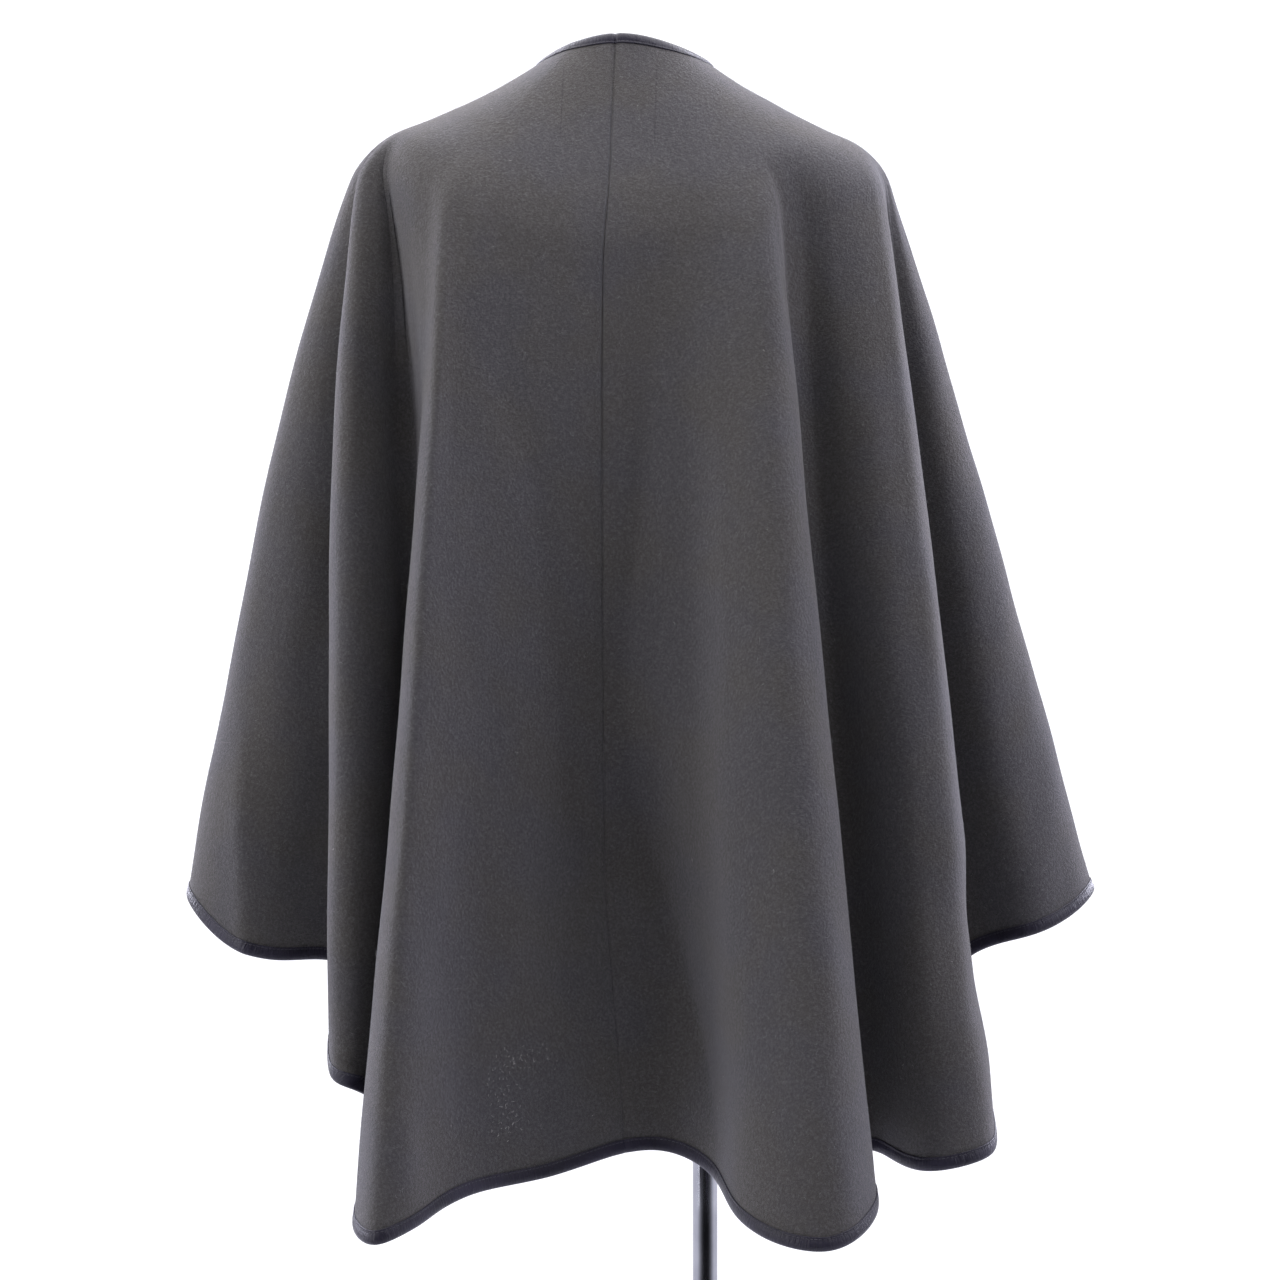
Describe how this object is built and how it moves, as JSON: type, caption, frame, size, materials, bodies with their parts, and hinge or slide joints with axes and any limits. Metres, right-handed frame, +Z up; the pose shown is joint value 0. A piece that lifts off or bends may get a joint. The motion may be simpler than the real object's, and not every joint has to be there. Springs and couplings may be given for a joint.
{
  "type": "poncho on a dress form",
  "caption": "Cape-cut felted wool poncho with bound neck and hem, hanging in folds from a limbless dress form on a round-based stand.",
  "frame": {"origin": "centre of the underside of the stand's base, on the floor and on the pole's axis", "axes": "+Z up along the pole; the wearer's back faces -Y and the wearer's left arm is towards -X"},
  "size_m": [0.7308, 0.5527, 1.401],
  "materials": {
    "wool": "thick felted wool in dark grey with a short nap",
    "binding": "smooth dark leather with a soft gloss",
    "form_cover": "plain off-white cotton jersey stretched over the form",
    "steel": "bright chromed steel"
  },
  "bodies": {
    "root": {"back_left": "wool", "back_right": "wool", "front_left": "wool", "front_right": "wool", "neck_binding": "binding", "hem_binding": "binding", "dress_form": "form_cover", "stand_pole": "steel", "stand_base": "steel"}
  },
  "joints": []
}
